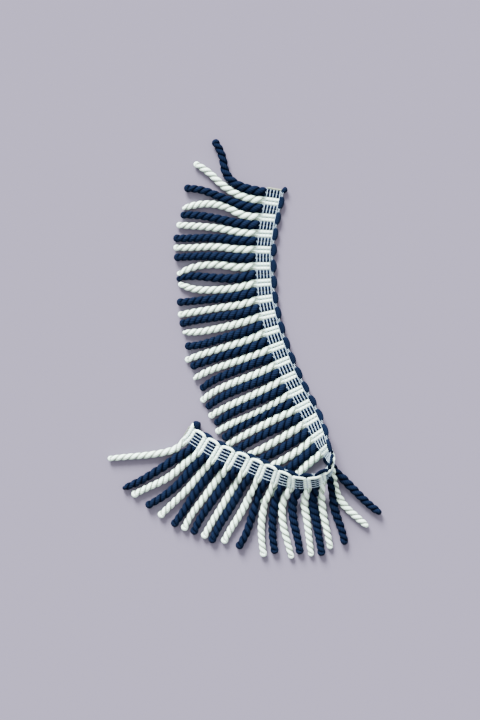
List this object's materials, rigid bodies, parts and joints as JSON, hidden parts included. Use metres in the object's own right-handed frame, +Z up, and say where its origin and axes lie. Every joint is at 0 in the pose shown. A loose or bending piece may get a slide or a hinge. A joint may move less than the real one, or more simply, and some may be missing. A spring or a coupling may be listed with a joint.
{
  "type": "cut length of bullion tassel fringe trim",
  "caption": "Twisted-rope bullion fringe in two colours on a woven heading, laid on a surface and turned over at a standing fold.",
  "frame": {"origin": "centre of the laid fringe in plan, on the surface that it lies on", "axes": "+Z up from that surface; +Y from the turned-over run's skirt towards the first cut end, along the longest side; +X towards the side that the first run's heading faces away from its skirt"},
  "size_m": [0.2819, 0.427, 0.0354],
  "materials": {
    "navy_cord": "matte",
    "ivory_cord": "matte",
    "warp_thread": "matte"
  },
  "bodies": {
    "root": {"navy_weft": "navy_cord", "ivory_weft": "ivory_cord", "heading_warp": "warp_thread"}
  },
  "joints": []
}
